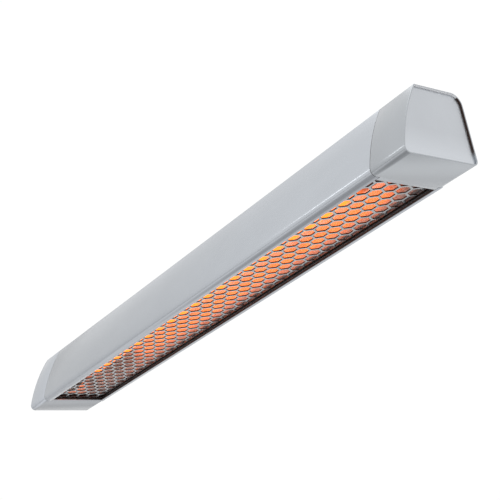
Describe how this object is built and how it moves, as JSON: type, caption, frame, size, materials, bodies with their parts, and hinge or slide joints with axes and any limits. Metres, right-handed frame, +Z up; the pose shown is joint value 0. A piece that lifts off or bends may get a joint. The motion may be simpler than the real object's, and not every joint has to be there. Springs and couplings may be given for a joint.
{
  "type": "infrared strip heater",
  "caption": "Slim overhead infrared strip warmer: a glowing tubular element and reflector behind a hexagonal guard in a capped aluminium housing, on tilting top brackets.",
  "frame": {"origin": "centre of the underside: the middle of the length and of the depth, at the plane of the two lips", "axes": "+X along the heater towards the end with the cable gland, +Y towards the flat back, +Z up (the guard faces down)"},
  "size_m": [0.707, 0.0819, 0.0834],
  "materials": {
    "housing_alu": "satin anodised",
    "cap_alu": "satin anodised die casting",
    "plate_alu": "satin anodised",
    "guard_steel": "satin stainless, slightly heat tinted",
    "reflector_alu": "polished aluminium",
    "element_sheath": "oxidised nickel alloy, glowing in use",
    "ceramic": "unglazed steatite",
    "silicone": "silicone",
    "seal_rubber": "chloroprene",
    "gland_plastic": "moulded",
    "washer_plastic": "natural nylon",
    "lead_sleeve": "glass braid over silicone",
    "earth_sleeve": "silicone sleeve",
    "cutout_case": "phenolic",
    "brass": "bare",
    "bracket_steel": "satin stainless",
    "zinc_steel": "bright zinc plate"
  },
  "bodies": {
    "heater": {"earth_lead": "earth_sleeve", "earth_nut": "brass", "earth_stud": "brass", "element_end_beads": "ceramic", "element_hangers": "zinc_steel", "element_pins": "zinc_steel", "far_bracket_foot": "bracket_steel", "far_cap_screws": "zinc_steel", "far_element_bushing": "ceramic", "far_end_cap": "cap_alu", "far_end_plate": "plate_alu", "far_end_reflector": "reflector_alu", "far_friction_washers": "washer_plastic", "far_nut_plate": "zinc_steel", "far_pivot_bolts": "zinc_steel", "far_pivot_nuts": "zinc_steel", "far_pivot_washers": "zinc_steel", "far_plate_gasket": "silicone", "far_plate_springs": "zinc_steel", "foot_screws": "zinc_steel", "gland_body": "gland_plastic", "gland_dome_nut": "gland_plastic", "gland_locknut": "gland_plastic", "gland_seal": "seal_rubber", "heating_element": "element_sheath", "hex_guard": "guard_steel", "housing_extrusion": "housing_alu", "live_lead": "lead_sleeve", "near_bracket_foot": "bracket_steel", "near_cap_screws": "zinc_steel", "near_element_bushing": "ceramic", "near_end_cap": "cap_alu", "near_end_plate": "plate_alu", "near_end_reflector": "reflector_alu", "near_friction_washers": "washer_plastic", "near_nut_plate": "zinc_steel", "near_pivot_bolts": "zinc_steel", "near_pivot_nuts": "zinc_steel", "near_pivot_washers": "zinc_steel", "near_plate_gasket": "silicone", "near_plate_springs": "zinc_steel", "reflector": "reflector_alu", "return_lead": "lead_sleeve", "switched_lead": "lead_sleeve", "terminal_block": "ceramic", "terminal_screws": "brass", "thermal_cutout": "cutout_case"},
    "near_arm": {"near_bracket_arm": "bracket_steel"},
    "far_arm": {"far_bracket_arm": "bracket_steel"}
  },
  "joints": [
    {"name": "near_tilt", "type": "hinge", "parent": "heater", "child": "near_arm", "pos_m": [0.215, 0.024, 0.0764], "axis": [1, 0, 0], "range_deg": [-45, 45]},
    {"name": "far_tilt", "type": "hinge", "parent": "heater", "child": "far_arm", "pos_m": [-0.215, 0.024, 0.0764], "axis": [1, 0, 0], "range_deg": [-45, 45]}
  ],
  "couplings": [
    {"joint": "far_tilt", "follows": "near_tilt", "ratio": 1}
  ]
}
